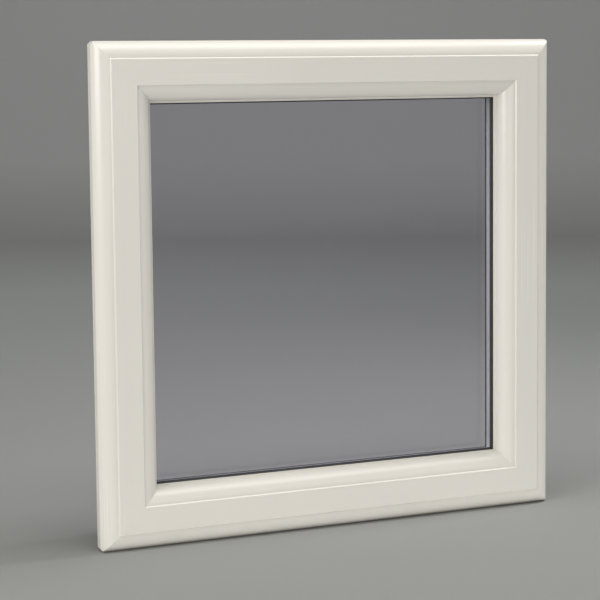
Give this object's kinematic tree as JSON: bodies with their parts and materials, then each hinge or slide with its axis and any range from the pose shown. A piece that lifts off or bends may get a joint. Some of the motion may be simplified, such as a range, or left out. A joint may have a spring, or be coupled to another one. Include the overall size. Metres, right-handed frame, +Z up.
{
  "type": "door vision panel",
  "caption": "Square double-glazed vision panel for a door, with an ivory moulded front frame, a back clamp frame, rubber glazing strips and a slot around it for the door leaf.",
  "frame": {"origin": "centre of the panel on the plane of the door's front face, where the front frame's foam seal meets the door", "axes": "+X to the right as seen from the front, +Y from the front to the back through the door, +Z up"},
  "size_m": [0.475, 0.076, 0.475],
  "materials": {
    "ivory_pvc": "satin ivory PVC",
    "black_rubber": "matt",
    "spacer_aluminium": "mill",
    "key_plastic": "matt grey",
    "black_sealant": "matt",
    "clear_glass": "polished",
    "block_plastic": "matt",
    "foam_seal": "matt closed-cell foam"
  },
  "bodies": {
    "root": {"back_bottom_rail": "ivory_pvc", "back_door_seal": "foam_seal", "back_gasket_bottom": "black_rubber", "back_gasket_left": "black_rubber", "back_gasket_right": "black_rubber", "back_gasket_top": "black_rubber", "back_left_stile": "ivory_pvc", "back_pane": "clear_glass", "back_right_stile": "ivory_pvc", "back_top_rail": "ivory_pvc", "edge_sealant": "black_sealant", "front_bottom_rail": "ivory_pvc", "front_door_seal": "foam_seal", "front_gasket_bottom": "black_rubber", "front_gasket_left": "black_rubber", "front_gasket_right": "black_rubber", "front_gasket_top": "black_rubber", "front_left_stile": "ivory_pvc", "front_pane": "clear_glass", "front_right_stile": "ivory_pvc", "front_top_rail": "ivory_pvc", "setting_blocks": "block_plastic", "spacer_bottom": "spacer_aluminium", "spacer_corner_keys": "key_plastic", "spacer_left": "spacer_aluminium", "spacer_right": "spacer_aluminium", "spacer_top": "spacer_aluminium"}
  },
  "joints": []
}
